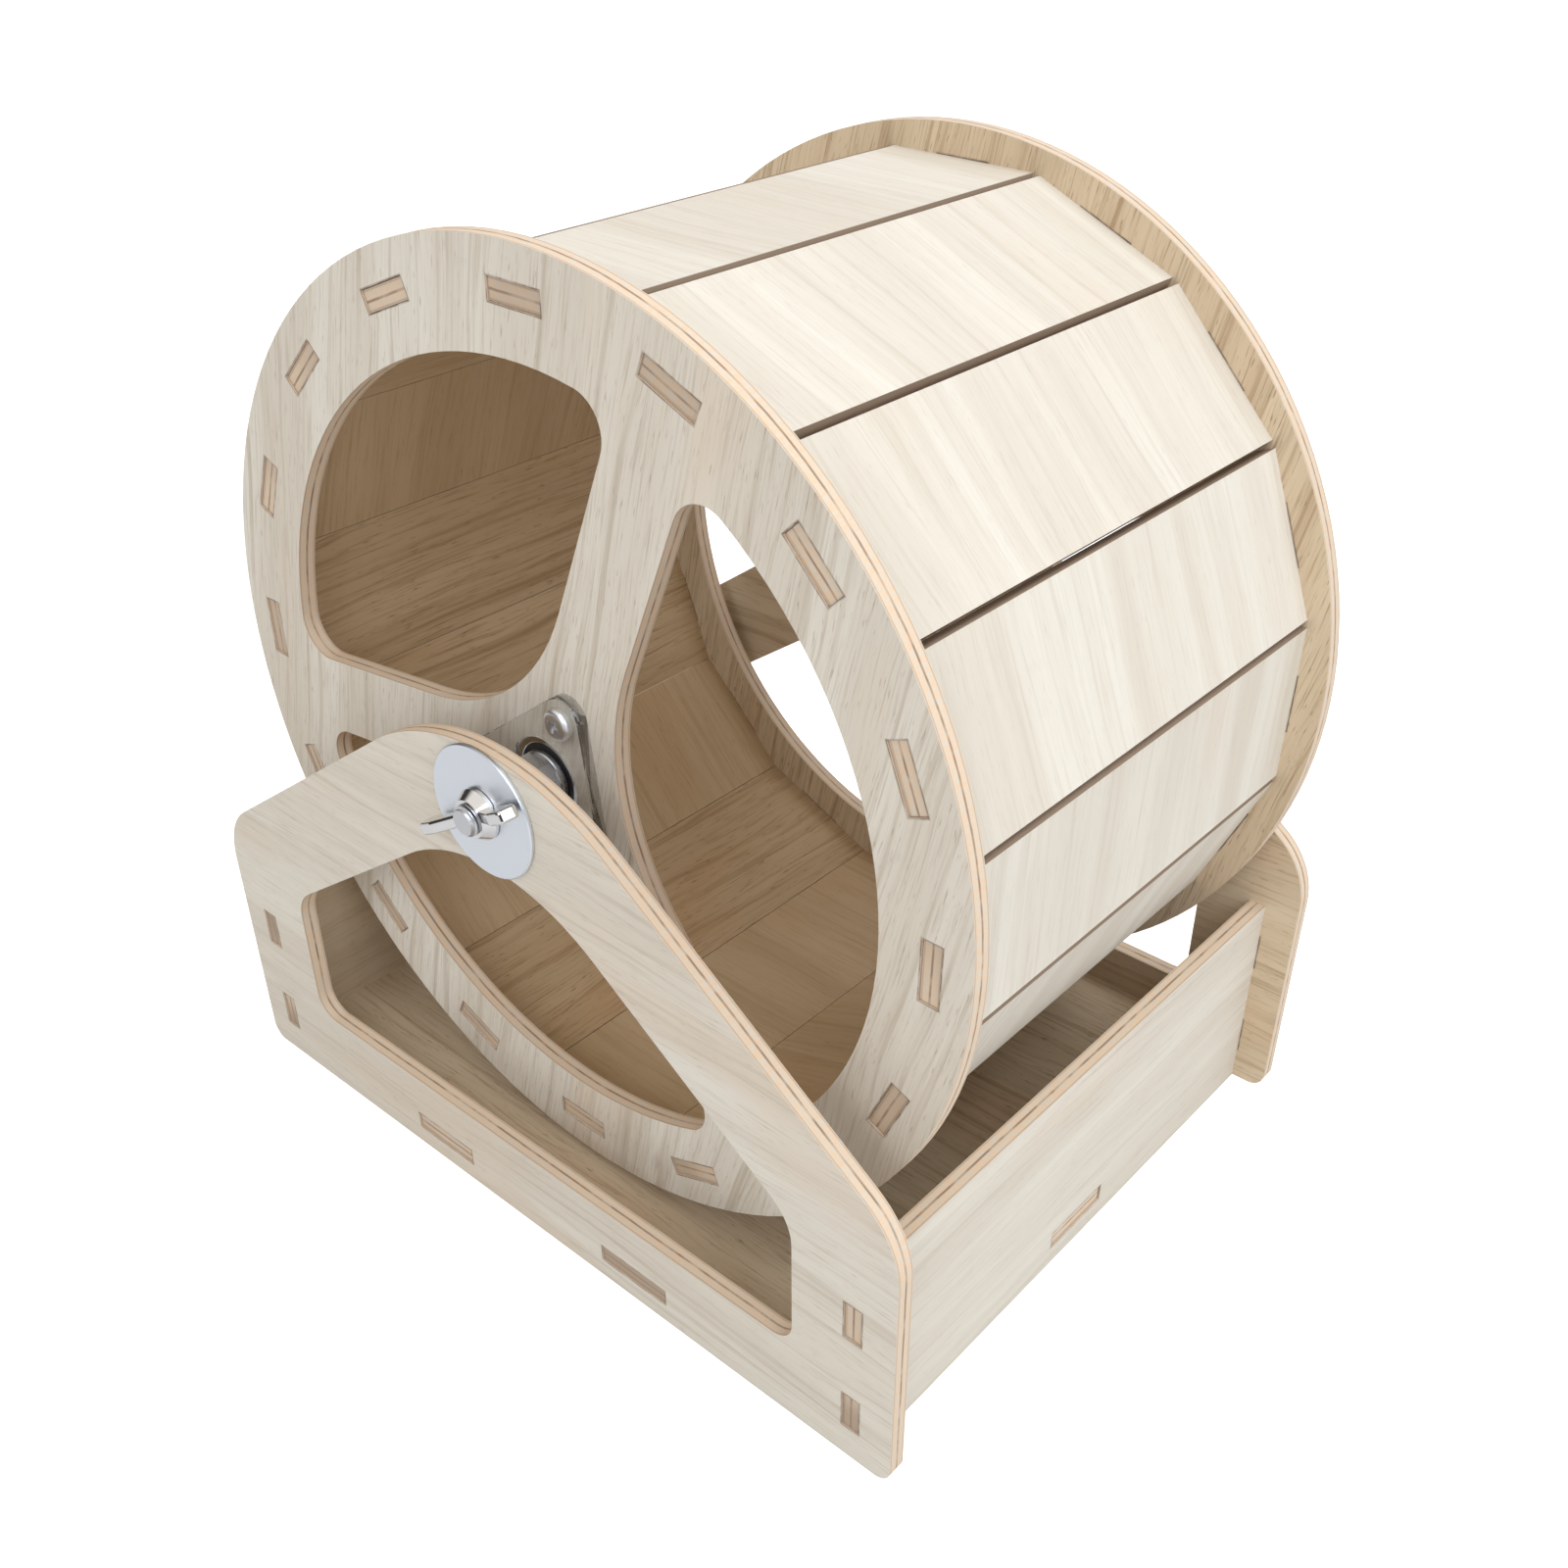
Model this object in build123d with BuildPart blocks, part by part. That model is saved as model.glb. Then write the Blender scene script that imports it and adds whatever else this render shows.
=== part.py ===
from build123d import *
import os
from math import cos, radians, sin, tan

# Rodent exercise wheel: a drum of plywood boards between two spoked discs, turning on two ball
# bearings in a stand of two house-shaped frames. Millimetres. The origin is on the ground under
# the middle of the stand, +Z is up, the axle runs along Y and the near frame is at -Y.

# Driving dimensions: the wheel
PLY = 5.0
WHEEL_RADIUS = 125.0
WHEEL_DEPTH = 157.0
WHEEL_MID_Y = 5.0
AXLE_HEIGHT = 139.3
RING_INNER_RADIUS = 100.5
SPOKE_COUNT = 3
SPOKE_WIDTH = 22.0
SPOKE_ROOT_FILLET = 66.0
OPENING_CORNER_FILLET = 9.0
FRONT_FIRST_SPOKE = 67.0
REAR_DISC_TURNED_SLATS = 4

# Driving dimensions: the running boards
SLAT_COUNT = 16
FIRST_SLAT_ANGLE = 66.56
SLAT_WIDTH = 44.25
SLAT_MID_RADIUS = 114.2
TAB_LENGTH = 16.0
SLOT_PLAY = 0.15
TAB_END_RECESS = 0.5

# Driving dimensions: the stand
STAND_DEPTH = 190.0
STAND_HALF_WIDTH = 126.0
ROOF_SLOPE = 35.5
ROOF_ABOVE_AXLE = 26.5
OPENING_BELOW_AXLE = 2.6
OPENING_HALF_WIDTH = 95.0
OPENING_SILL = 26.0
APEX_FILLET = 70.0
SHOULDER_FILLET = 25.0
FOOT_FILLET = 5.0
OPENING_APEX_FILLET = 58.0
OPENING_SHOULDER_FILLET = 14.5
OPENING_FOOT_FILLET = 7.0
END_PANEL_X = 113.5
END_PANEL_HEIGHT = 65.0
END_TAB_HEIGHTS = (16.25, 48.25)
END_TAB_SIZE = 11.4
FLOOR_MID_Z = 9.0
FLOOR_TAB_X = 39.0
FLOOR_TAB_SIZE = 23.4

# Driving dimensions: the hub plates and their screws
PLATE_THICKNESS = 3.0
PLATE_CORNER_RADIUS = 6.0
PLATE_CORNER_PITCH = 20.4
SCREW_PITCH = 20.0
SCREW_RADIUS = 1.45
SCREW_HOLE_RADIUS = 1.5
SCREW_LENGTH = 7.6
SCREW_HEAD_RADIUS = 4.1
SCREW_HEAD_HEIGHT = 2.2
SCREW_HEAD_ROUNDING = 1.3
SCREW_SLOT = (4.2, 0.9, 1.1)

# Driving dimensions: the bearings, 22 outside, 8 bore, 7 wide
BEARING_RADIUS = 10.98
BEARING_SEAT_RADIUS = 11.02
BEARING_BORE_RADIUS = 4.0
BEARING_WIDTH = 7.0
BEARING_PROUD = 2.0
OUTER_SHOULDER_RADIUS = 9.1
INNER_SHOULDER_RADIUS = 6.05
BALL_COUNT = 7
BALL_RADIUS = 1.9845
BALL_PITCH_RADIUS = 7.5
RACE_PLAY = 0.045
CAGE_RADII = (6.5, 8.5)
CAGE_HALF_WIDTH = 2.3
SEAL_THICKNESS = 0.6
SEAL_RECESS = 0.4
SEAL_LIP_PLAY = 0.1

# Driving dimensions: the axle bolts and what is on them
BOLT_RADIUS = 3.95
BOLT_HOLE_RADIUS = 4.2
NUT_BORE_RADIUS = 4.0
HEXAGON_SIDES = 6
HEXAGON_CORNER_SLOPE = 30.0
ACROSS_FLATS = 13.0
HEAD_HEIGHT = 5.3
NUT_HEIGHT = 6.5
LOCK_NUT_HEIGHT = 4.0
FRONT_BOLT_LENGTH = 35.0
REAR_BOLT_LENGTH = 25.0
SMALL_WASHER = (4.2, 7.5, 1.6)
FENDER_WASHER = (4.3, 17.4, 1.2)
SPACER_RADII = (4.1, 6.0)
BOLT_END_CHAMFER = 0.8
EDGE_BREAK = 0.3

# Driving dimensions: the wing nuts
WING_NUT_GAP = 0.15
WING_THICKNESS = 3.2
BOSS_BASE_RADIUS = 6.6
BOSS_TOP_RADIUS = 4.9
BOSS_RIM = 1.0
BOSS_HEIGHT = 3.6
WING_SPAN = 38.0
WING_HEIGHT = 6.6
WING_ROOT_RISE = 0.8
WING_ROOT_TOP = 3.2
WING_TOE = 2.0
WING_TOE_RISE = 2.2
WING_TIP_LEAN = 1.2
WING_TIP_WIDTH = 5.0
WING_CORNER_FILLET = 1.4
WING_EDGE_FILLET = 0.8
FRONT_WING_ANGLE = 28.0
REAR_WING_ANGLE = 108.0

os.makedirs("parts", exist_ok=True)

AXLE = Axis((0, 0, AXLE_HEIGHT), (0, 1, 0))
SLAT_PITCH = 360.0 / SLAT_COUNT
FRONT, REAR = -1, 1


def across(y, height=0.0):
    """Upright plane across the axle: x is X, y is Z, and extruding goes towards -Y."""
    return Plane(origin=(0, y, height), x_dir=(1, 0, 0), z_dir=(0, -1, 0))


def along_axle(y, outward, angle=0.0):
    """Plane through the axle: x runs out from it at this angle, and y runs outward along it."""
    radial = Vector(cos(radians(angle)), 0, sin(radians(angle)))
    return Plane(origin=(0, y, AXLE_HEIGHT), x_dir=radial, z_dir=radial.cross(Vector(0, outward, 0)))


def disc_face(side):
    """Y of a disc's outer face."""
    return WHEEL_MID_Y + side * WHEEL_DEPTH / 2


def frame_face(side):
    """Y of a frame's outer face."""
    return side * STAND_DEPTH / 2


def first_spoke(side):
    """Angle of a disc's first spoke: the rear disc is turned on by a few board pitches."""
    return FRONT_FIRST_SPOKE + (REAR_DISC_TURNED_SLATS * SLAT_PITCH if side == REAR else 0.0)


def turned_ring(name, y, outward, radii, thickness):
    """Washer or sleeve on the axle, from y outward, with its outer edges broken."""
    inner, outer = radii
    with BuildPart() as ring:
        with BuildSketch(along_axle(y, outward)):
            with Locations(((inner + outer) / 2, thickness / 2)):
                Rectangle(outer - inner, thickness)
        revolve(axis=AXLE)
        rims = ring.edges().filter_by(GeomType.CIRCLE).sort_by(SortBy.RADIUS)[-2:]
        chamfer(rims, EDGE_BREAK)
    ring.part.label = name
    export_step(ring.part, f"parts/{name}.step")


def spoked_disc(name, side):
    """Disc with three rounded openings, a slot for each board and the bearing's seat."""
    face = across(disc_face(side) if side == REAR else disc_face(side) + PLY, AXLE_HEIGHT)
    spoke = first_spoke(side)
    with BuildPart() as disc:
        with BuildSketch(face):
            Circle(WHEEL_RADIUS)
            Circle(BEARING_SEAT_RADIUS, mode=Mode.SUBTRACT)
            with PolarLocations(SCREW_PITCH, SPOKE_COUNT, start_angle=spoke):
                Circle(SCREW_HOLE_RADIUS, mode=Mode.SUBTRACT)
            with PolarLocations(SLAT_MID_RADIUS, SLAT_COUNT, start_angle=FIRST_SLAT_ANGLE):
                Rectangle(PLY + 2 * SLOT_PLAY, TAB_LENGTH + 2 * SLOT_PLAY, mode=Mode.SUBTRACT)
        extrude(amount=PLY)
        with BuildSketch(face) as openings:
            Circle(RING_INNER_RADIUS)
            with PolarLocations(WHEEL_RADIUS / 2, SPOKE_COUNT, start_angle=spoke):
                Rectangle(WHEEL_RADIUS, SPOKE_WIDTH, mode=Mode.SUBTRACT)
            by_radius = openings.vertices().sort_by(lambda corner: corner.center().length)
            fillet(by_radius[:SPOKE_COUNT], SPOKE_ROOT_FILLET)
            by_radius = openings.vertices().sort_by(lambda corner: corner.center().length)
            fillet(by_radius[-2 * SPOKE_COUNT:], OPENING_CORNER_FILLET)
        extrude(amount=PLY, mode=Mode.SUBTRACT)
    disc.part.label = name
    export_step(disc.part, f"parts/{name}.step")


def running_board(name, angle):
    """Flat board of the drum, square to its own radius, with a tab through each disc."""
    radial = Vector(cos(radians(angle)), 0, sin(radians(angle)))
    tangent = Vector(-sin(radians(angle)), 0, cos(radians(angle)))
    inner = Vector(0, WHEEL_MID_Y, AXLE_HEIGHT) + radial * (SLAT_MID_RADIUS - PLY / 2)
    with BuildPart() as board:
        with BuildSketch(Plane(origin=inner, x_dir=tangent, z_dir=radial)):
            Rectangle(SLAT_WIDTH, WHEEL_DEPTH - 2 * PLY)
            Rectangle(TAB_LENGTH, WHEEL_DEPTH - 2 * TAB_END_RECESS)
        extrude(amount=PLY)
    board.part.label = name
    export_step(board.part, f"parts/{name}.step")


def house(half_width, eave, apex, floor, fillets):
    """House-shaped outline: floor, two walls and two roof slopes, with rounded corners."""
    foot_radius, shoulder_radius, apex_radius = fillets
    with BuildSketch(mode=Mode.PRIVATE) as outline:
        with BuildLine():
            Polyline(
                (-half_width, floor),
                (half_width, floor),
                (half_width, eave),
                (0, apex),
                (-half_width, eave),
                close=True,
            )
        make_face()
        fillet(outline.vertices().sort_by(Axis.Y)[2:4], shoulder_radius)
        fillet(outline.vertices().sort_by(Axis.Y)[:2], foot_radius)
        fillet(outline.vertices().sort_by(Axis.Y)[-1], apex_radius)
    return outline.sketch


def stand_frame(name, side):
    """House-shaped frame: its roof carries the axle bolt, its slots take the panels' tabs."""
    rise = cos(radians(ROOF_SLOPE))
    slope = tan(radians(ROOF_SLOPE))
    apex = AXLE_HEIGHT + ROOF_ABOVE_AXLE / rise
    opening_apex = AXLE_HEIGHT - OPENING_BELOW_AXLE / rise
    outline = house(
        STAND_HALF_WIDTH,
        apex - STAND_HALF_WIDTH * slope,
        apex,
        0.0,
        (FOOT_FILLET, SHOULDER_FILLET, APEX_FILLET),
    )
    opening = house(
        OPENING_HALF_WIDTH,
        opening_apex - OPENING_HALF_WIDTH * slope,
        opening_apex,
        OPENING_SILL,
        (OPENING_FOOT_FILLET, OPENING_SHOULDER_FILLET, OPENING_APEX_FILLET),
    )
    slot_width = PLY + 2 * SLOT_PLAY
    with BuildPart() as frame:
        with BuildSketch(across(frame_face(side) if side == REAR else frame_face(side) + PLY)):
            add(outline)
            add(opening, mode=Mode.SUBTRACT)
            with Locations((0, AXLE_HEIGHT)):
                Circle(BOLT_HOLE_RADIUS, mode=Mode.SUBTRACT)
            end_slots = [(s * END_PANEL_X, z) for s in (-1, 1) for z in END_TAB_HEIGHTS]
            with Locations(*end_slots):
                Rectangle(slot_width, END_TAB_SIZE + 2 * SLOT_PLAY, mode=Mode.SUBTRACT)
            with Locations((-FLOOR_TAB_X, FLOOR_MID_Z), (FLOOR_TAB_X, FLOOR_MID_Z)):
                Rectangle(FLOOR_TAB_SIZE + 2 * SLOT_PLAY, slot_width, mode=Mode.SUBTRACT)
        extrude(amount=PLY)
    frame.part.label = name
    export_step(frame.part, f"parts/{name}.step")


def end_panel(name, side):
    """Low panel across one end of the stand, with two tabs into each frame."""
    inner_x = side * END_PANEL_X - PLY / 2
    inside_depth = STAND_DEPTH - 2 * PLY
    with BuildPart() as panel:
        with BuildSketch(Plane(origin=(inner_x, 0, 0), x_dir=(0, 1, 0), z_dir=(1, 0, 0))):
            with Locations((0, END_PANEL_HEIGHT / 2)):
                Rectangle(inside_depth, END_PANEL_HEIGHT)
            with Locations(*[(0, z) for z in END_TAB_HEIGHTS]):
                Rectangle(STAND_DEPTH - 2 * TAB_END_RECESS, END_TAB_SIZE)
            with Locations((0, FLOOR_MID_Z)):
                Rectangle(
                    FLOOR_TAB_SIZE + 2 * SLOT_PLAY, PLY + 2 * SLOT_PLAY, mode=Mode.SUBTRACT
                )
        extrude(amount=PLY)
    panel.part.label = name
    export_step(panel.part, f"parts/{name}.step")


def floor_panel(name):
    """Panel under the wheel, with two tabs into each frame and one into each end panel."""
    inside_width = 2 * (END_PANEL_X - PLY / 2)
    outside_width = 2 * (END_PANEL_X + PLY / 2)
    with BuildPart() as panel:
        with BuildSketch(Plane.XY.offset(FLOOR_MID_Z - PLY / 2)):
            Rectangle(inside_width, STAND_DEPTH - 2 * PLY)
            Rectangle(outside_width - 2 * TAB_END_RECESS, FLOOR_TAB_SIZE)
            with Locations((-FLOOR_TAB_X, 0), (FLOOR_TAB_X, 0)):
                Rectangle(FLOOR_TAB_SIZE, STAND_DEPTH - 2 * TAB_END_RECESS)
        extrude(amount=PLY)
    panel.part.label = name
    export_step(panel.part, f"parts/{name}.step")


def bearing_plate(name, side):
    """Three-cornered plate on the disc's outer face, its corners on the spokes."""
    outer_y = disc_face(side) + side * PLATE_THICKNESS
    spoke = first_spoke(side)
    corner_reach = PLATE_CORNER_PITCH + 2 * PLATE_CORNER_RADIUS
    with BuildPart() as plate:
        with BuildSketch(across(max(outer_y, disc_face(side)), AXLE_HEIGHT)) as profile:
            RegularPolygon(corner_reach, SPOKE_COUNT, rotation=spoke)
            fillet(profile.vertices(), PLATE_CORNER_RADIUS)
            Circle(BEARING_SEAT_RADIUS, mode=Mode.SUBTRACT)
            with PolarLocations(SCREW_PITCH, SPOKE_COUNT, start_angle=spoke):
                Circle(SCREW_HOLE_RADIUS, mode=Mode.SUBTRACT)
        extrude(amount=PLATE_THICKNESS)
        chamfer(plate.edges().group_by(Axis.Y)[0 if side == FRONT else -1], EDGE_BREAK)
    plate.part.label = name
    export_step(plate.part, f"parts/{name}.step")


def plate_screws(name, side):
    """Three pan-head wood screws through the plate into the disc, each with a cross recess."""
    head_y = disc_face(side) + side * PLATE_THICKNESS
    spoke = first_spoke(side)
    length, width, depth = SCREW_SLOT
    with BuildPart() as screws:
        with BuildSketch(across(head_y, AXLE_HEIGHT)):
            with PolarLocations(SCREW_PITCH, SPOKE_COUNT, start_angle=spoke):
                Circle(SCREW_HEAD_RADIUS)
        extrude(amount=-side * SCREW_HEAD_HEIGHT)
        tops = screws.edges().group_by(Axis.Y)[0 if side == FRONT else -1]
        fillet(tops, SCREW_HEAD_ROUNDING)
        with BuildSketch(across(head_y, AXLE_HEIGHT)):
            with PolarLocations(SCREW_PITCH, SPOKE_COUNT, start_angle=spoke):
                Circle(SCREW_RADIUS)
        extrude(amount=side * SCREW_LENGTH)
        with BuildSketch(across(head_y + side * SCREW_HEAD_HEIGHT, AXLE_HEIGHT)):
            with PolarLocations(SCREW_PITCH, SPOKE_COUNT, start_angle=spoke):
                Rectangle(length, width)
                Rectangle(width, length)
        extrude(amount=side * depth, mode=Mode.SUBTRACT)
    screws.part.label = name
    export_step(screws.part, f"parts/{name}.step")


def bearing_ring(name, side, radii):
    """Inner or outer ring of a bearing: a sleeve with a round groove for the balls."""
    inner, outer = radii
    mid_y = disc_face(side) + side * (BEARING_PROUD - BEARING_WIDTH / 2)
    with BuildPart() as ring:
        with BuildSketch(along_axle(mid_y, FRONT)) as profile:
            with Locations(((inner + outer) / 2, 0)):
                Rectangle(outer - inner, BEARING_WIDTH)
            fillet(profile.vertices(), EDGE_BREAK)
            with Locations((BALL_PITCH_RADIUS, 0)):
                Circle(BALL_RADIUS + RACE_PLAY, mode=Mode.SUBTRACT)
        revolve(axis=AXLE)
    ring.part.label = name
    export_step(ring.part, f"parts/{name}.step")


def bearing_balls(name, side):
    """The seven balls of a bearing, evenly spaced round its pitch circle."""
    mid_y = disc_face(side) + side * (BEARING_PROUD - BEARING_WIDTH / 2)
    with BuildPart(across(mid_y, AXLE_HEIGHT)) as balls:
        with PolarLocations(BALL_PITCH_RADIUS, BALL_COUNT):
            Sphere(BALL_RADIUS)
    balls.part.label = name
    export_step(balls.part, f"parts/{name}.step")


def bearing_cage(name, side):
    """Ring between the bearing's rings, with a pocket bored through it for each ball."""
    inner, outer = CAGE_RADII
    mid_y = disc_face(side) + side * (BEARING_PROUD - BEARING_WIDTH / 2)
    with BuildPart(across(mid_y, AXLE_HEIGHT)) as cage:
        Cylinder(outer, 2 * CAGE_HALF_WIDTH)
        Cylinder(inner, 2 * CAGE_HALF_WIDTH, mode=Mode.SUBTRACT)
        with PolarLocations(BALL_PITCH_RADIUS, BALL_COUNT):
            Cylinder(BALL_RADIUS + RACE_PLAY, outer, rotation=(0, 90, 0), mode=Mode.SUBTRACT)
    cage.part.label = name
    export_step(cage.part, f"parts/{name}.step")


def bearing_seals(name, side):
    """Flat rubber ring in each side of the bearing, held by its outer ring."""
    inner = INNER_SHOULDER_RADIUS + SEAL_LIP_PLAY
    mid_y = disc_face(side) + side * (BEARING_PROUD - BEARING_WIDTH / 2)
    offset = BEARING_WIDTH / 2 - SEAL_RECESS - SEAL_THICKNESS / 2
    with BuildPart() as seals:
        with BuildSketch(along_axle(mid_y, FRONT)):
            with Locations(
                ((inner + OUTER_SHOULDER_RADIUS) / 2, -offset),
                ((inner + OUTER_SHOULDER_RADIUS) / 2, offset),
            ):
                Rectangle(OUTER_SHOULDER_RADIUS - inner, SEAL_THICKNESS)
        revolve(axis=AXLE)
    seals.part.label = name
    export_step(seals.part, f"parts/{name}.step")


def hexagon_corner_profile(height, both_ends):
    """Half section of the turned shape that takes a hexagon's corners off at a slope."""
    flat_radius = ACROSS_FLATS / 2
    corner_radius = flat_radius / cos(radians(180 / HEXAGON_SIDES))
    drop = (corner_radius - flat_radius) * tan(radians(HEXAGON_CORNER_SLOPE))
    low_corner = [(flat_radius, 0), (corner_radius, drop)] if both_ends else [(corner_radius, 0)]
    high_corner = [(corner_radius, height - drop), (flat_radius, height)]
    Polyline((0, 0), *low_corner, *high_corner, (0, height), close=True)


def axle_bolt(name, side, length):
    """Hexagon-head bolt from inside the wheel, through bearing and frame, to the wing nut."""
    under_head = disc_face(side) - side * (BEARING_WIDTH - BEARING_PROUD + SMALL_WASHER[2])
    with BuildPart() as bolt:
        with BuildSketch(across(under_head, AXLE_HEIGHT)):
            RegularPolygon(ACROSS_FLATS / 2, HEXAGON_SIDES, major_radius=False)
        extrude(amount=side * HEAD_HEIGHT)
        with BuildSketch(along_axle(under_head, -side)):
            with BuildLine():
                hexagon_corner_profile(HEAD_HEIGHT, both_ends=False)
            make_face()
        revolve(axis=AXLE, mode=Mode.INTERSECT)
        with BuildSketch(across(under_head, AXLE_HEIGHT)):
            Circle(BOLT_RADIUS)
        extrude(amount=-side * length)
        end_rim = bolt.edges().filter_by(GeomType.CIRCLE).sort_by(Axis.Y)
        chamfer(end_rim[0 if side == FRONT else -1], BOLT_END_CHAMFER)
    bolt.part.label = name
    export_step(bolt.part, f"parts/{name}.step")


def hexagon_nut(name, y, height):
    """Hexagon nut on the front bolt, from y outward."""
    with BuildPart() as nut:
        with BuildSketch(across(y, AXLE_HEIGHT)):
            RegularPolygon(ACROSS_FLATS / 2, HEXAGON_SIDES, major_radius=False)
        extrude(amount=height)
        with BuildSketch(along_axle(y, FRONT)):
            with BuildLine():
                hexagon_corner_profile(height, both_ends=True)
            make_face()
        revolve(axis=AXLE, mode=Mode.INTERSECT)
        with BuildSketch(across(y, AXLE_HEIGHT)):
            Circle(NUT_BORE_RADIUS)
        extrude(amount=height, mode=Mode.SUBTRACT)
    nut.part.label = name
    export_step(nut.part, f"parts/{name}.step")


def wing_nut(name, side, angle):
    """Wing nut: a short tapered boss with two upright ears that lean outwards."""
    seat_y = frame_face(side) + side * (FENDER_WASHER[2] + WING_NUT_GAP)
    wing_plane = along_axle(seat_y, side, angle)
    half_span = WING_SPAN / 2
    with BuildPart() as nut:
        with BuildSketch(wing_plane) as ear:
            with BuildLine():
                Polyline(
                    (0, WING_ROOT_RISE),
                    (half_span - WING_TOE, WING_ROOT_RISE),
                    (half_span, WING_TOE_RISE),
                    (half_span - WING_TIP_LEAN, WING_HEIGHT),
                    (half_span - WING_TIP_LEAN - WING_TIP_WIDTH, WING_HEIGHT),
                    (BOSS_TOP_RADIUS - WING_THICKNESS / 2, WING_ROOT_TOP),
                    (0, WING_ROOT_TOP),
                    close=True,
                )
            make_face()
            outer = [v for v in ear.vertices() if v.X > BOSS_BASE_RADIUS]
            fillet(outer, WING_CORNER_FILLET)
            mirror(about=Plane.YZ)
        extrude(amount=WING_THICKNESS / 2, both=True)
        ear_sides = nut.faces().sort_by(Axis(wing_plane.origin, wing_plane.z_dir))
        fillet(ear_sides[0].edges() + ear_sides[-1].edges(), WING_EDGE_FILLET)
        with BuildSketch(wing_plane):
            with BuildLine():
                Polyline(
                    (0, 0),
                    (BOSS_BASE_RADIUS, 0),
                    (BOSS_BASE_RADIUS, BOSS_RIM),
                    (BOSS_TOP_RADIUS, BOSS_HEIGHT),
                    (0, BOSS_HEIGHT),
                    close=True,
                )
            make_face()
        revolve(axis=AXLE)
        with BuildSketch(across(seat_y, AXLE_HEIGHT)):
            Circle(NUT_BORE_RADIUS)
        extrude(amount=-side * WING_HEIGHT, mode=Mode.SUBTRACT)
    nut.part.label = name
    export_step(nut.part, f"parts/{name}.step")


for wheel_side, side_name in ((FRONT, "front"), (REAR, "rear")):
    spoked_disc(f"{side_name}_disc", wheel_side)
    bearing_plate(f"{side_name}_bearing_plate", wheel_side)
    plate_screws(f"{side_name}_plate_screws", wheel_side)
    bearing_ring(
        f"{side_name}_bearing_outer_ring", wheel_side, (OUTER_SHOULDER_RADIUS, BEARING_RADIUS)
    )
    bearing_ring(
        f"{side_name}_bearing_inner_ring", wheel_side, (BEARING_BORE_RADIUS, INNER_SHOULDER_RADIUS)
    )
    bearing_balls(f"{side_name}_bearing_balls", wheel_side)
    bearing_cage(f"{side_name}_bearing_cage", wheel_side)
    bearing_seals(f"{side_name}_bearing_seals", wheel_side)
    stand_frame(f"{side_name}_frame", wheel_side)
    turned_ring(
        f"{side_name}_fender_washer",
        frame_face(wheel_side),
        wheel_side,
        FENDER_WASHER[:2],
        FENDER_WASHER[2],
    )
    turned_ring(
        f"{side_name}_bolt_washer",
        disc_face(wheel_side) - wheel_side * (BEARING_WIDTH - BEARING_PROUD),
        -wheel_side,
        SMALL_WASHER[:2],
        SMALL_WASHER[2],
    )

for number in range(SLAT_COUNT):
    running_board(f"slat_{number + 1:02d}", FIRST_SLAT_ANGLE - number * SLAT_PITCH)

end_panel("left_end_panel", -1)
end_panel("right_end_panel", 1)
floor_panel("floor_panel")

axle_bolt("front_axle_bolt", FRONT, FRONT_BOLT_LENGTH)
axle_bolt("rear_axle_bolt", REAR, REAR_BOLT_LENGTH)
wing_nut("front_wing_nut", FRONT, FRONT_WING_ANGLE)
wing_nut("rear_wing_nut", REAR, REAR_WING_ANGLE)

# The front bearing is clamped by a nut, and a thin nut backs the frame; the rear has one sleeve
front_bearing_y = disc_face(FRONT) - BEARING_PROUD
front_frame_y = frame_face(FRONT) + PLY
rear_bearing_y = disc_face(REAR) + BEARING_PROUD
rear_frame_y = frame_face(REAR) - PLY
turned_ring("front_bearing_washer", front_bearing_y, FRONT, SMALL_WASHER[:2], SMALL_WASHER[2])
hexagon_nut("front_bearing_nut", front_bearing_y - SMALL_WASHER[2], NUT_HEIGHT)
turned_ring("front_lock_washer", front_frame_y, REAR, SMALL_WASHER[:2], SMALL_WASHER[2])
hexagon_nut("front_lock_nut", front_frame_y + SMALL_WASHER[2] + LOCK_NUT_HEIGHT, LOCK_NUT_HEIGHT)
turned_ring("rear_spacer", rear_bearing_y, REAR, SPACER_RADII, rear_frame_y - rear_bearing_y)
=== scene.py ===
import math

import bpy
from mathutils import Matrix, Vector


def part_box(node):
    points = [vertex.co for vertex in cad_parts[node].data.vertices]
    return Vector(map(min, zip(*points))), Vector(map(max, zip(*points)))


# A plywood rodent wheel: sixteen running boards between two spoked discs, on a plywood stand.
# Metres, in the model's own frame: the ground is z = 0 and the axle runs along Y.

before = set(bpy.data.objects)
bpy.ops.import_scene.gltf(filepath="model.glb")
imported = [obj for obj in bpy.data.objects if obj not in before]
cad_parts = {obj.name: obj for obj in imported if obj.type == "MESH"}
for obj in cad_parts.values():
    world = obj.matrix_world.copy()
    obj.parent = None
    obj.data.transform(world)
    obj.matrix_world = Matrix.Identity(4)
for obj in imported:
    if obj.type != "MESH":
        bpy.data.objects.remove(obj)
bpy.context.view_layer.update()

MILLIMETRE = 0.001

# Sizes read from the model itself
DISC_LOW, DISC_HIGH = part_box("front_disc")
AXLE_HEIGHT = (DISC_LOW.z + DISC_HIGH.z) / 2
PLY = DISC_HIGH.y - DISC_LOW.y
BOARD_COUNT = sum(name.startswith("slat_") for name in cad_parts)
BOARD_STEP = 2 * math.pi / BOARD_COUNT

# The running boards' place round the axle: a board's own angle, and the radius of its inner face
FIRST_BOARD_ANGLE = math.radians(66.56)
BOARD_INNER_RADIUS = 0.1117

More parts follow.
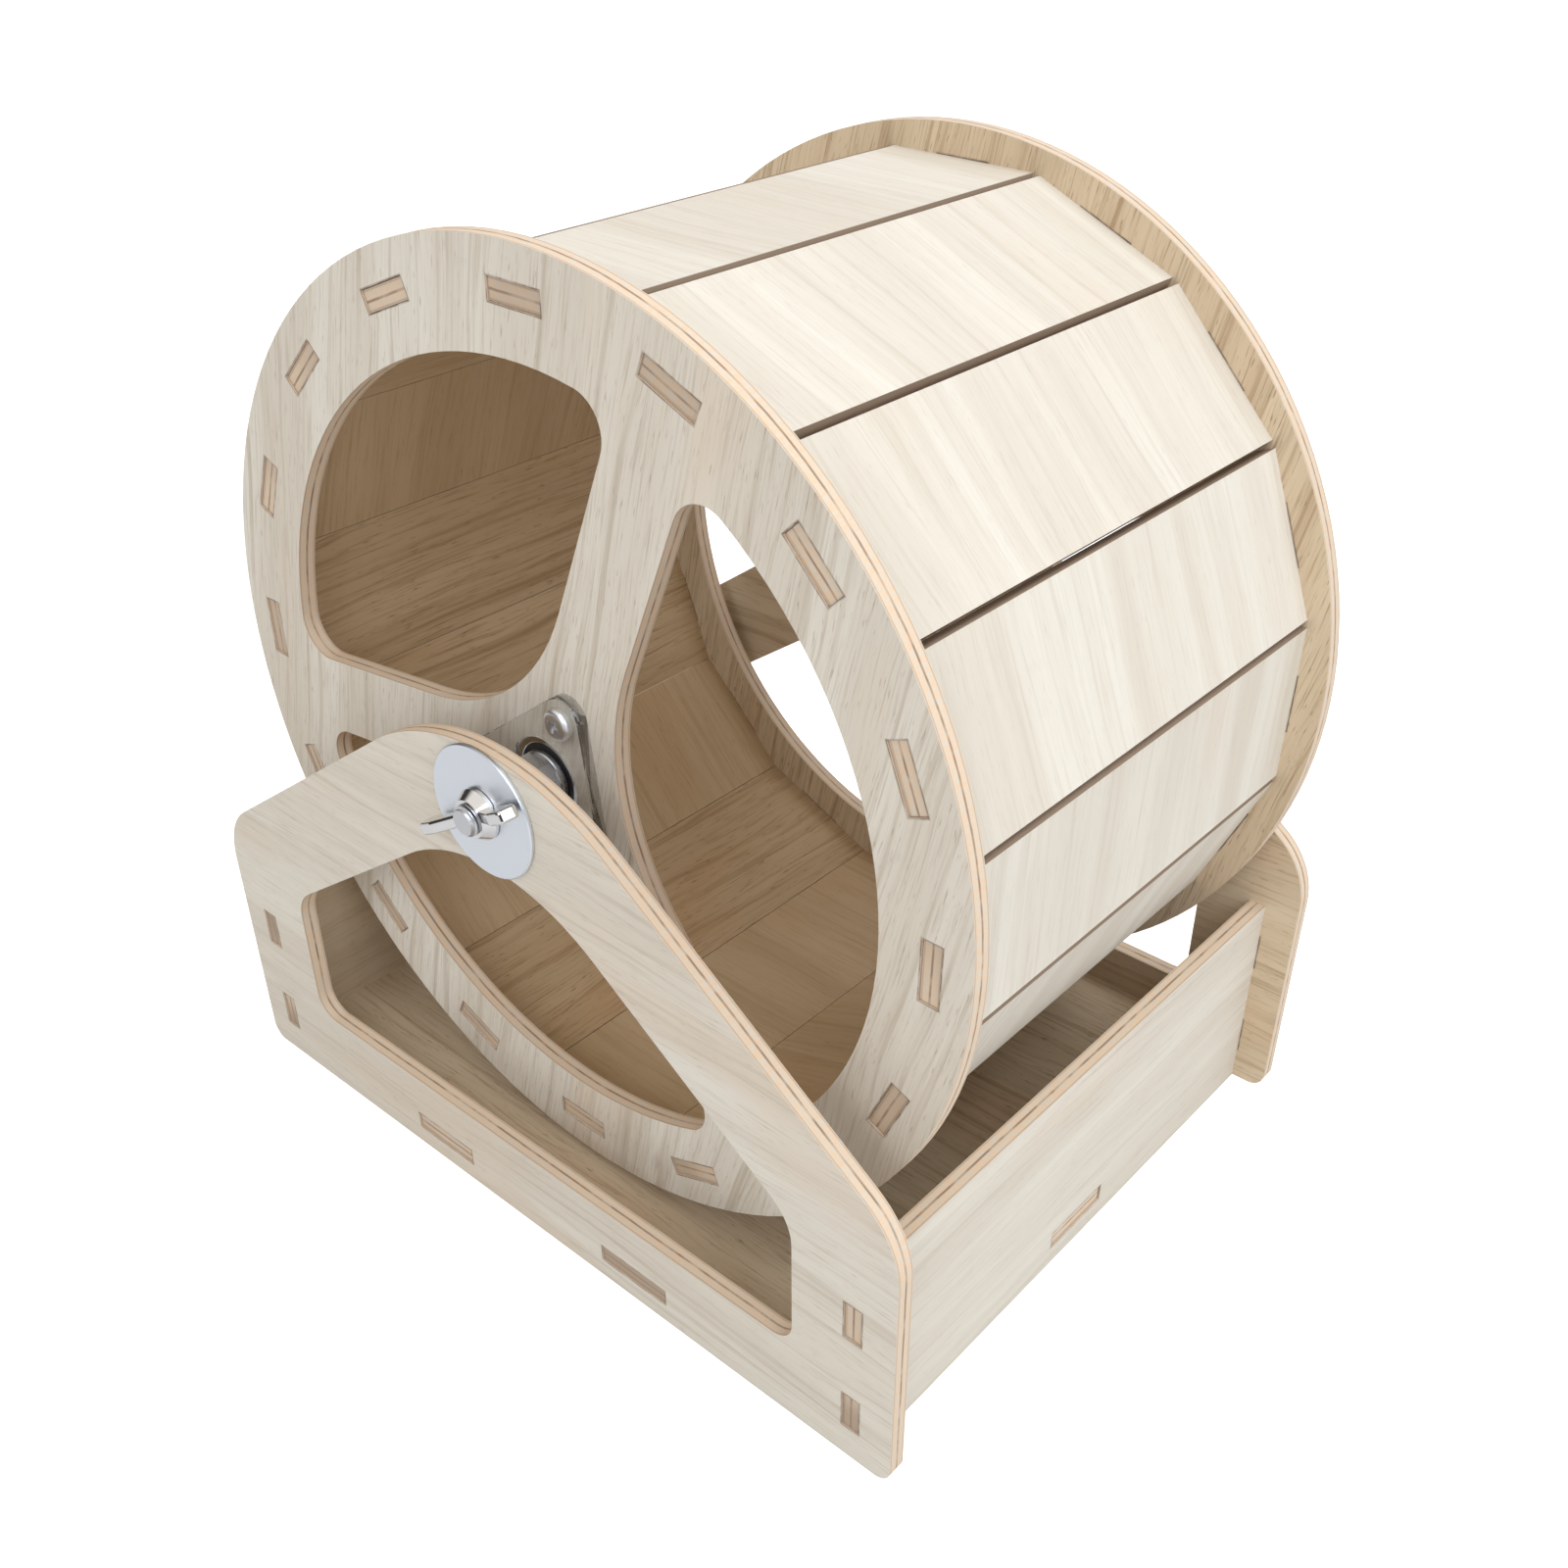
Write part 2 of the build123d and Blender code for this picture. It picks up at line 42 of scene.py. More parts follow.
# Slots through the discs, frames and end panels: half width, half height and centre, across the face
DISC_SLOT = (0.00815, 0.00265)
END_SLOT = (0.00265, 0.00585)
END_SLOT_CENTRES = ((0.1135, 0.01625), (0.1135, 0.04825))
FLOOR_SLOT = (0.01185, 0.00265)
FLOOR_SLOT_CENTRES = ((0.039, 0.009),)
PANEL_SLOT_CENTRE = (0.0, 0.009)

# The bolts' thread, which shows within a radius just outside the shank's own
THREAD_PITCH = 0.00125
THREAD_RADIUS = 0.0041

# The camera that the photograph was taken from, with the picture's own off-centre crop
IMAGE_SIZE = 1600
FOCAL_PIXELS = 1678.9
SENSOR_WIDTH = 36.0
PRINCIPAL_RIGHT_PIXELS = 11.9
PRINCIPAL_DOWN_PIXELS = 69.8
CAMERA_PLACE = (0.2669, -0.2899, 0.3488)
CAMERA_TILT = math.radians(55.527)
CAMERA_ROLL = math.radians(0.083)
CAMERA_TURN = math.radians(41.076)

# Face veneer, its warmer back, and the plywood's cut edges, as linear colours; the back colour is partly
# real back veneer and partly painted shade, darkening and warming the inward faces
VENEER_PALE = (0.695, 0.643, 0.545)
VENEER_MAIN = (0.620, 0.556, 0.455)
VENEER_STREAK = (0.430, 0.345, 0.250)
VENEER_BLOTCH = (0.640, 0.520, 0.395)
# Back colour and its share: partly the real back veneer, partly painted shade of the faces turned into
# the drum and stand
VENEER_BACK_AND_SHADE = (0.900, 0.735, 0.530)
BACK_AND_SHADE_SHARE = 0.75
EDGE_LIGHT = (0.710, 0.510, 0.335)
# Painted shade: dark brown laid on the boards' long sides in the gaps between them and on recessed tab
# ends
SIDE_PAINTED_SHADE = (0.300, 0.215, 0.150)
EDGE_LINE = (0.200, 0.110, 0.060)
KERF_BROWN = (0.120, 0.070, 0.040)

# Figure of the veneer, in millimetres across the grain, along it and through the board, then its detail
DRIFT_SIZES = (26.0, 110.0, 80.0, 2.0)
BROAD_SIZES = (13.0, 260.0, 60.0, 2.0)
BAND_SIZES = (2.2, 120.0, 30.0, 5.0)
FIBRE_SIZES = (0.55, 18.0, 9.0, 4.0)
PORE_SIZES = (0.42, 5.0, 6.0, 2.0)
BLOTCH_SIZES = (30.0, 110.0, 60.0, 2.0)
DRIFT_REACH = 0.010
SEED_JUMP = 0.37

# Where each layer of the figure sets in and is full, and how strongly it colours the veneer
BROAD_RANGE = (0.30, 0.74)
BLOTCH_RANGE, BLOTCH_STRENGTH = (0.54, 0.74), 0.60
BAND_RANGE, BAND_STRENGTH = (0.50, 0.74), 0.50
FIBRE_RANGE, FIBRE_STRENGTH = (0.48, 0.80), 0.55
PORE_RANGE, PORE_STRENGTH = (0.62, 0.76), 0.32
PORE_DEPTH = 0.5
BACK_AND_SHADE_EXTRA_CONTRAST = 0.9

# Cut edges, as shares of the plywood's thickness: the middle glue line and the lines under the faces
WAVER_SIZES = (11.0, 11.0, 400.0, 3.0)
WAVER_REACH = 0.08
BREAK_SIZES, BREAK_RANGE = (6.0, 6.0, 400.0, 3.0), (0.30, 0.62)
END_GRAIN_SIZES, END_GRAIN_RANGE = (0.7, 0.7, 1.5, 4.0), (0.30, 0.75)
GLUE_LINE_MIDDLE, GLUE_LINE_RANGE = 0.48, (0.030, 0.085)
GLUE_LINE_LEAST, GLUE_LINE_ADDED = 0.28, 0.50
SKIN_LINE_OUTSIDE, SKIN_LINE_INSIDE = (0.02, 0.06), (0.07, 0.13)
SKIN_LINE_STRENGTH = 0.40

# Brown line round a slot: its width, its breaks and its least and added strength
KERF_LINE = 0.00055
KERF_GAP_SIZES = (5.0, 5.0, 5.0, 2.0)
KERF_GAP_RANGE = (0.38, 0.58)
KERF_LEAST, KERF_ADDED = 0.45, 0.50

# Painted shade on cut edges: the boards' long sides beyond their tabs, darkened as the shade in the gaps
# between boards, and the tabs' ends, darkened as the shade in their recesses
TAB_EDGE_RANGE = (0.016, 0.021)
BOARD_SIDE_SHADE = 0.85
BOARD_TAB_SHADE = 0.45
PANEL_TAB_SHADE = 0.80
FLOOR_TAB_SHADE = 0.70
TAB_SHADE_SIZES = (38.0, 38.0, 38.0, 1.0)
TAB_SHADE_RANGE = (0.40, 0.60)
TAB_SHADE_LEAST, TAB_SHADE_ADDED = 0.25, 0.75

# A surface counts as a board's face when its direction lies this near to the board's own
FACE_RANGE = (0.45, 0.80)

# Raised grain and gloss of the wood
WOOD_ROUGHNESS, WOOD_ROUGHNESS_CHANGE = 0.52, 0.16
WOOD_SPECULAR = 0.30
GRAIN_RELIEF, GRAIN_RELIEF_STRENGTH = 0.0002, 0.30

# Contrast of the figure on each kind of board, and the boards whose grain lies along the axle
DISC_CONTRAST = 1.3
FRAME_CONTRAST = 0.85
END_PANEL_CONTRAST = 0.6
FLOOR_CONTRAST = 1.0
ACROSS_GRAIN_CONTRAST = 0.5
ALONG_AXLE_CONTRAST = 1.0
ALONG_AXLE_BOARDS = (9, 11, 12, 14)

# Metals: colour, roughness and how much the colour varies
ZINC = ((0.66, 0.66, 0.67), 0.24, 0.2)
BOLT_ZINC = ((0.62, 0.62, 0.63), 0.24, 0.3)
SCREW_ZINC = ((0.80, 0.80, 0.80), 0.34, 0.2)
WASHER_ZINC = ((0.77, 0.80, 0.84), 0.32, 0.15)
NICKEL = ((0.76, 0.75, 0.74), 0.07, 0.15)
BEARING_STEEL = ((0.55, 0.55, 0.56), 0.15, 0.2)
DARKER_SHARE = 0.78
SPECK_ROUGHNESS = 0.10

# Clear plastic: how much of a shadow or diffuse ray it lets through
PLASTIC_IOR = 1.49
LIGHT_PASSED = 0.92

# Studio: lamps as name, place, size and power, all aimed at the wheel's centre
LAMP_COLOUR = (0.88, 0.97, 1.12)
LAMPS = (
    ("overhead_softbox", (0.35, 0.15, 1.3), 1.0, 5.7),
    ("right_softbox", (1.3, -0.2, 0.7), 0.9, 7.0),
    ("camera_side_softbox", (0.5, -1.3, 0.9), 0.9, 7.5),
    ("back_softbox", (-0.9, 1.2, 0.8), 1.2, 3.0),
)
WORLD_COLOUR = (1.02, 0.98, 0.93, 1.0)
WORLD_RISE = (-0.1, 0.9)
WORLD_LEAST, WORLD_ADDED = 0.49, 0.40
MIRRORED_RISE = (0.40, 0.75)
MIRRORED_LEAST, MIRRORED_ADDED = 0.05, 0.90
FLOOR_HALF_WIDTH = 12.0
FLOOR_COLOUR = (0.55, 0.55, 0.55, 1.0)
FLOOR_ROUGHNESS = 0.9
FLOOR_GLOW_LEAST, FLOOR_GLOW_ADDED = 0.12, 0.62


def new_node(tree, kind, values=None, **settings):
    """Adds a node, sets its properties, and fills its inputs with constants or links."""
    node = tree.nodes.new(kind)
    for name, value in settings.items():
        setattr(node, name, value)
    for key, value in (values or {}).items():
        socket = node.inputs[key]
        if isinstance(value, bpy.types.NodeSocket):
            tree.links.new(value, socket)
        else:
            socket.default_value = value
    return node


def math_node(tree, operation, first, second=None, third=None):
    """One arithmetic step, returned as its output socket."""
    values = {0: first}
    if second is not None:
        values[1] = second
    if third is not None:
        values[2] = third
    node = new_node(tree, "ShaderNodeMath", values, operation=operation)
    return node.outputs[0]


def mix_colour(tree, factor, first, second, blend="MIX"):
    """Mixes two colours, returned as its output socket."""
    node = tree.nodes.new("ShaderNodeMix")
    node.data_type = "RGBA"
    node.blend_type = blend
    for socket, value in ((node.inputs[0], factor), (node.inputs[6], first), (node.inputs[7], second)):
        if isinstance(value, bpy.types.NodeSocket):
            tree.links.new(value, socket)
        else:
            socket.default_value = (*value, 1.0) if isinstance(value, tuple) else value
    return node.outputs[2]


def smooth_step(tree, value, low, high):
    """Runs smoothly from 0 at low to 1 at high."""
    values = {"Value": value, "From Min": low, "From Max": high}
    node = new_node(tree, "ShaderNodeMapRange", values, interpolation_type="SMOOTHSTEP")
    return node.outputs["Result"]


def new_group(name, inputs, outputs):
    """An empty shader group with the named sockets."""
    group = bpy.data.node_groups.new(name, "ShaderNodeTree")
    for label, kind in inputs:
        group.interface.new_socket(label, in_out="INPUT", socket_type=f"NodeSocket{kind}")
    for label, kind in outputs:
        group.interface.new_socket(label, in_out="OUTPUT", socket_type=f"NodeSocket{kind}")
    return group, group.nodes.new("NodeGroupInput"), group.nodes.new("NodeGroupOutput")


def stretched_noise(tree, vector, across, along, depth, detail):
    """Noise whose cells are this long in millimetres across, along and through the board."""
    scale = tuple(1.0 / (size * MILLIMETRE) for size in (across, along, depth))
    mapped = new_node(tree, "ShaderNodeVectorMath", {0: vector, 1: scale}, operation="MULTIPLY")
    values = {"Vector": mapped.outputs[0], "Scale": 1.0, "Detail": detail}
    return new_node(tree, "ShaderNodeTexNoise", values).outputs["Fac"]


def make_veneer_group():
    """Face veneer from board coordinates (metres across the grain, along it and through the board).

    The coordinates are first pushed sideways by slow noise, so that the grain lines wander.
    Broad tones, growth bands, fibres and short pores are noise stretched along the grain.
    """
    group, source, result = new_group(
        "veneer",
        [("Board", "Vector"), ("Seed", "Float"), ("Contrast", "Float")],
        [("Color", "Color"), ("Height", "Float")],
    )
    seed, contrast = source.outputs["Seed"], source.outputs["Contrast"]
    jump = math_node(group, "MULTIPLY", seed, SEED_JUMP)
    offset = new_node(group, "ShaderNodeCombineXYZ", {0: jump, 1: jump, 2: jump}).outputs[0]
    values = {0: source.outputs["Board"], 1: offset}
    place = new_node(group, "ShaderNodeVectorMath", values, operation="ADD").outputs[0]
    drift = stretched_noise(group, place, *DRIFT_SIZES)
    sideways = math_node(group, "MULTIPLY_ADD", drift, DRIFT_REACH, -DRIFT_REACH / 2)
    sideways = new_node(group, "ShaderNodeCombineXYZ", {0: sideways}).outputs[0]
    place = new_node(group, "ShaderNodeVectorMath", {0: place, 1: sideways}, operation="ADD").outputs[0]

    broad = stretched_noise(group, place, *BROAD_SIZES)
    bands = stretched_noise(group, place, *BAND_SIZES)
    fibre = stretched_noise(group, place, *FIBRE_SIZES)
    pores = stretched_noise(group, place, *PORE_SIZES)
    blotch = stretched_noise(group, place, *BLOTCH_SIZES)

    def layer(mask, strength, below, above):
        weight = math_node(group, "MULTIPLY", math_node(group, "MULTIPLY", mask, strength), contrast)
        return mix_colour(group, weight, below, above)

    colour = mix_colour(group, smooth_step(group, broad, *BROAD_RANGE), VENEER_MAIN, VENEER_PALE)
    colour = layer(smooth_step(group, blotch, *BLOTCH_RANGE), BLOTCH_STRENGTH, colour, VENEER_BLOTCH)
    colour = layer(smooth_step(group, bands, *BAND_RANGE), BAND_STRENGTH, colour, VENEER_STREAK)
    colour = layer(smooth_step(group, fibre, *FIBRE_RANGE), FIBRE_STRENGTH, colour, VENEER_STREAK)
    pore_mask = smooth_step(group, pores, *PORE_RANGE)
    colour = layer(pore_mask, PORE_STRENGTH, colour, EDGE_LINE)
    grooves = math_node(group, "SUBTRACT", fibre, math_node(group, "MULTIPLY", pore_mask, PORE_DEPTH))
    group.links.new(colour, result.inputs["Color"])
    group.links.new(grooves, result.inputs["Height"])
    return group


def make_ply_edge_group():
    """Cut edge from board coordinates: light plies between thin brown lines.

    share runs from 0 to 1 through the board. The glue line is where share, pushed about by
    slow noise, is near the middle. The skin lines are where share is just inside either face.
    """
    group, source, result = new_group(
        "ply_edge",
        [("Board", "Vector"), ("Seed", "Float")],
        [("Color", "Color")],
    )
    board = source.outputs["Board"]
    values = {0: board, 1: source.outputs["Seed"]}
    place = new_node(group, "ShaderNodeVectorMath", values, operation="ADD").outputs[0]
    through = new_node(group, "ShaderNodeSeparateXYZ", {0: board}).outputs[2]
    share = math_node(group, "DIVIDE", through, PLY)

    waver = stretched_noise(group, place, *WAVER_SIZES)
    waver = math_node(group, "MULTIPLY_ADD", waver, WAVER_REACH, -WAVER_REACH / 2)
    from_middle = math_node(group, "SUBTRACT", math_node(group, "ADD", share, waver), GLUE_LINE_MIDDLE)
    from_middle = math_node(group, "ABSOLUTE", from_middle)
    glue_line = math_node(group, "SUBTRACT", 1.0, smooth_step(group, from_middle, *GLUE_LINE_RANGE))
    breaks = smooth_step(group, stretched_noise(group, place, *BREAK_SIZES), *BREAK_RANGE)
    strength = math_node(group, "MULTIPLY_ADD", breaks, GLUE_LINE_ADDED, GLUE_LINE_LEAST)
    glue_line = math_node(group, "MULTIPLY", glue_line, strength)

    from_centre = math_node(group, "ABSOLUTE", math_node(group, "SUBTRACT", share, 0.5))
    from_face = math_node(group, "SUBTRACT", 0.5, from_centre)
    below_skin = math_node(group, "SUBTRACT", 1.0, smooth_step(group, from_face, *SKIN_LINE_INSIDE))
    above_skin = smooth_step(group, from_face, *SKIN_LINE_OUTSIDE)
    skin_line = math_node(group, "MULTIPLY", below_skin, above_skin)
    skin_line = math_node(group, "MULTIPLY", skin_line, SKIN_LINE_STRENGTH)

    end_grain = stretched_noise(group, place, *END_GRAIN_SIZES)
    plies = mix_colour(group, smooth_step(group, end_grain, *END_GRAIN_RANGE), EDGE_LIGHT, VENEER_MAIN)
    plies = mix_colour(group, glue_line, plies, EDGE_LINE)
    plies = mix_colour(group, skin_line, plies, EDGE_LINE)
    group.links.new(plies, result.inputs["Color"])
    return group


def make_plywood_group():
    """Plywood: veneer on the broad faces, plies on the cut edges, brown kerf lines round the slots.

    Face is 1 on the two broad faces and 0 on the cut edges. The back mask is 1 on the inward faces,
    which get the warmer, darker back colour, partly real back veneer and partly painted shade. The
    shade mask is 1 on cut edges darkened as painted shade in the gaps and recesses, and Kerf is the
    distance in metres from the nearest slot through the board.
    """
    group, source, result = new_group(
        "plywood",
        [
            ("Board", "Vector"), ("Face", "Float"), ("Back", "Float"), ("Kerf", "Float"),
            ("Scorch", "Float"), ("Seed", "Float"), ("Contrast", "Float"),
        ],
        [("Color", "Color"), ("Roughness", "Float"), ("Height", "Float")],
    )
    board, seed = source.outputs["Board"], source.outputs["Seed"]
    veneer = new_node(group, "ShaderNodeGroup", node_tree=VENEER)
    edge = new_node(group, "ShaderNodeGroup", node_tree=PLY_EDGE)
    for node in (veneer, edge):
        group.links.new(board, node.inputs["Board"])
        group.links.new(seed, node.inputs["Seed"])
    back_and_shade_contrast = math_node(group, "MULTIPLY_ADD", source.outputs["Back"], BACK_AND_SHADE_EXTRA_CONTRAST, 1.0)
    contrast = math_node(group, "MULTIPLY", source.outputs["Contrast"], back_and_shade_contrast)
    group.links.new(contrast, veneer.inputs["Contrast"])

    # Painted shade, partly real back veneer: the inward faces are multiplied by the darker, warmer back
    # colour
    back = mix_colour(group, source.outputs["Back"], (1.0, 1.0, 1.0), VENEER_BACK_AND_SHADE)
    face_colour = mix_colour(group, 1.0, veneer.outputs["Color"], back, "MULTIPLY")
    off_slot = smooth_step(group, source.outputs["Kerf"], 0.0, KERF_LINE)
    near_slot = math_node(group, "SUBTRACT", 1.0, off_slot)
    gaps = smooth_step(group, stretched_noise(group, board, *KERF_GAP_SIZES), *KERF_GAP_RANGE)
    strength = math_node(group, "MULTIPLY_ADD", gaps, KERF_ADDED, KERF_LEAST)
    kerf = math_node(group, "MULTIPLY", near_slot, strength)
    face_colour = mix_colour(group, kerf, face_colour, KERF_BROWN)
    # Painted shade: cut edges in the gaps and recesses are mixed towards dark brown
    edge_colour = mix_colour(group, source.outputs["Scorch"], edge.outputs["Color"], SIDE_PAINTED_SHADE)
    colour = mix_colour(group, source.outputs["Face"], edge_colour, face_colour)
    height = veneer.outputs["Height"]
    roughness = math_node(group, "MULTIPLY_ADD", height, WOOD_ROUGHNESS_CHANGE, WOOD_ROUGHNESS)
    group.links.new(colour, result.inputs["Color"])
    group.links.new(roughness, result.inputs["Roughness"])
    group.links.new(height, result.inputs["Height"])
    return group


def make_flat_board_group():
    """Board coordinates of a flat panel, and which way its surface faces.

    Place and direction are turned by the three angles in Turn, after which X is across the
    grain, Y along it and Z through the panel. Facing is the turned direction's own Z, and
    Face is 1 where that is large either way.
    """
    group, source, result = new_group(
        "flat_board",
        [("Position", "Vector"), ("Direction", "Vector"), ("Turn", "Vector"), ("Near Face", "Float")],
        [("Board", "Vector"), ("Face", "Float"), ("Facing", "Float")],
    )
    turned = []
    for socket in ("Position", "Direction"):
        values = {"Vector": source.outputs[socket], "Rotation": source.outputs["Turn"]}
        node = new_node(group, "ShaderNodeVectorRotate", values, rotation_type="EULER_XYZ")
        turned.append(new_node(group, "ShaderNodeSeparateXYZ", {0: node.outputs[0]}))
    place, normal = turned
    through = math_node(group, "SUBTRACT", place.outputs[2], source.outputs["Near Face"])
    values = {0: place.outputs[0], 1: place.outputs[1], 2: through}
    board = new_node(group, "ShaderNodeCombineXYZ", values)
    facing = smooth_step(group, math_node(group, "ABSOLUTE", normal.outputs[2]), *FACE_RANGE)
    group.links.new(board.outputs[0], result.inputs["Board"])
    group.links.new(facing, result.inputs["Face"])
    group.links.new(normal.outputs[2], result.inputs["Facing"])
    return group


def make_drum_board_group():
    """Board coordinates of the running boards, worked out from the angle round the axle.

    The nearest board's own angle gives its radial direction: the distance along it is the
    depth through the board, the distance square to it is the place across the board.
    """
    group, source, result = new_group(
        "drum_board",
        [("Position", "Vector"), ("Direction", "Vector")],
        [
            ("Across", "Float"), ("Along", "Float"), ("Through", "Float"), ("Face", "Float"),
            ("Inner", "Float"), ("Number", "Float"),
        ],
    )
    place = new_node(group, "ShaderNodeSeparateXYZ", {0: source.outputs["Position"]})
    normal = new_node(group, "ShaderNodeSeparateXYZ", {0: source.outputs["Direction"]})
    x, y = place.outputs[0], place.outputs[1]
    z = math_node(group, "SUBTRACT", place.outputs[2], AXLE_HEIGHT)
    angle = math_node(group, "SUBTRACT", math_node(group, "ARCTAN2", z, x), FIRST_BOARD_ANGLE)
    number = math_node(group, "ROUND", math_node(group, "DIVIDE", angle, BOARD_STEP))
    own = math_node(group, "MULTIPLY_ADD", number, BOARD_STEP, FIRST_BOARD_ANGLE)
    cosine, sine = math_node(group, "COSINE", own), math_node(group, "SINE", own)

    def dot(first, second):
        part = math_node(group, "MULTIPLY", first, cosine)
        return math_node(group, "MULTIPLY_ADD", second, sine, part)

    radial = dot(x, z)
    back_along = math_node(group, "MULTIPLY", x, sine)
    across = math_node(group, "SUBTRACT", math_node(group, "MULTIPLY", z, cosine), back_along)
    outward = dot(normal.outputs[0], normal.outputs[2])
    facing = math_node(group, "ABSOLUTE", outward)
    outputs = {
        "Across": across,
        "Along": y,
        "Through": math_node(group, "SUBTRACT", radial, BOARD_INNER_RADIUS),
        "Face": smooth_step(group, facing, *FACE_RANGE),
        "Inner": math_node(group, "LESS_THAN", outward, -FACE_RANGE[0]),
        "Number": math_node(group, "FLOORED_MODULO", number, float(BOARD_COUNT)),
    }
    for name, socket in outputs.items():
        group.links.new(socket, result.inputs[name])
    return group


def new_material(name):
    """A material with an empty Principled surface; returns it with its tree and shader."""
    material = bpy.data.materials.new(name)
    material.use_nodes = True
    tree = material.node_tree
    return material, tree, tree.nodes["Principled BSDF"]


def slot_distance(tree, across, up, half_size, centre=(0.0, 0.0)):
    """Distance outside one slot: the larger of the distances past its half width and half height."""
    parts = []
    for place, middle, half in ((across, centre[0], half_size[0]), (up, centre[1], half_size[1])):
        away = math_node(tree, "ABSOLUTE", math_node(tree, "SUBTRACT", place, middle))
        parts.append(math_node(tree, "SUBTRACT", away, half))
    return math_node(tree, "MAXIMUM", *parts)


def finish_plywood(tree, shader, **inputs):
    """Feeds a plywood group into the surface: colour, roughness and fine raised grain."""
    wood = new_node(tree, "ShaderNodeGroup", node_tree=PLYWOOD)
    for key, value in inputs.items():
        if isinstance(value, bpy.types.NodeSocket):
            tree.links.new(value, wood.inputs[key])
        else:
            wood.inputs[key].default_value = value
    tree.links.new(wood.outputs["Color"], shader.inputs["Base Color"])
    tree.links.new(wood.outputs["Roughness"], shader.inputs["Roughness"])
    height = wood.outputs["Height"]
    values = {"Strength": GRAIN_RELIEF_STRENGTH, "Distance": GRAIN_RELIEF, "Height": height}
    bump = new_node(tree, "ShaderNodeBump", values)
    tree.links.new(bump.outputs[0], shader.inputs["Normal"])
    shader.inputs["Specular IOR Level"].default_value = WOOD_SPECULAR


def shaded_tab_ends(tree, place, amount):
    """Mask of the tab ends that face along Y, darkened as painted shade of their recesses, more or less
    from one tab to the next.
    """
    normal = new_node(tree, "ShaderNodeSeparateXYZ", {0: place.outputs["Normal"]})
    ends = smooth_step(tree, math_node(tree, "ABSOLUTE", normal.outputs[1]), 0.5, 0.8)
    chance = stretched_noise(tree, place.outputs["Object"], *TAB_SHADE_SIZES)
    chance = smooth_step(tree, chance, *TAB_SHADE_RANGE)
    tab_shade_amount = math_node(tree, "MULTIPLY_ADD", chance, TAB_SHADE_ADDED, TAB_SHADE_LEAST)
    return math_node(tree, "MULTIPLY", math_node(tree, "MULTIPLY", ends, tab_shade_amount), amount)


def flat_plywood(name, turn, near_face, seed, contrast, shaded_back_side, slots, end_shade=0.0):
    """Plywood of a flat panel: turn brings its grain to Y and its thickness to Z.

    The sign of the back side is +1 or -1 for the side of the turned panel that faces inward and shows
    its warmer back, partly real back veneer and partly painted shade, and slots is the function that
    measures the distance from the panel's slots.
    """
    material, tree, shader = new_material(name)
    place = new_node(tree, "ShaderNodeTexCoord")
    layout = new_node(tree, "ShaderNodeGroup", node_tree=FLAT_BOARD)
    tree.links.new(place.outputs["Object"], layout.inputs["Position"])
    tree.links.new(place.outputs["Normal"], layout.inputs["Direction"])
    layout.inputs["Turn"].default_value = turn
    layout.inputs["Near Face"].default_value = near_face
    # Painted shade, partly real back veneer: the inward side gets the darker, warmer back colour
    back = smooth_step(tree, math_node(tree, "MULTIPLY", layout.outputs["Facing"], shaded_back_side), 0.4, 0.6)
    back = math_node(tree, "MULTIPLY", back, BACK_AND_SHADE_SHARE)
    kerf = slots(tree, place.outputs["Object"])
    # Painted shade on the recessed tab ends
    painted_shade = shaded_tab_ends(tree, place, end_shade) if end_shade else 0.0
    finish_plywood(
        tree, shader, Board=layout.outputs["Board"], Face=layout.outputs["Face"], Back=back, Kerf=kerf,
        Scorch=painted_shade, Seed=seed, Contrast=contrast,
    )
    return material


def disc_slots(tree, position):
    """Distance from the nearest of a disc's slots, which follow the running boards."""
    drum = new_node(tree, "ShaderNodeGroup", node_tree=DRUM_BOARD)
    tree.links.new(position, drum.inputs["Position"])
    middle = math_node(tree, "SUBTRACT", drum.outputs["Through"], PLY / 2)
    return slot_distance(tree, drum.outputs["Across"], middle, DISC_SLOT)


def frame_slots(tree, position):
    """Distance from the nearest of a frame's six slots, mirrored left to right."""
    axes = new_node(tree, "ShaderNodeSeparateXYZ", {0: position})
    across = math_node(tree, "ABSOLUTE", axes.outputs[0])
    nearest = 1.0
    for half_size, centres in ((END_SLOT, END_SLOT_CENTRES), (FLOOR_SLOT, FLOOR_SLOT_CENTRES)):
        for centre in centres:
            here = slot_distance(tree, across, axes.outputs[2], half_size, centre)
            nearest = math_node(tree, "MINIMUM", here, nearest)
    return nearest


def panel_slots(tree, position):
    """Distance from an end panel's one slot."""
    axes = new_node(tree, "ShaderNodeSeparateXYZ", {0: position})
    return slot_distance(tree, axes.outputs[1], axes.outputs[2], FLOOR_SLOT, PANEL_SLOT_CENTRE)


def no_slots(tree, position):
    """A board without slots is far from any."""
    return 1.0


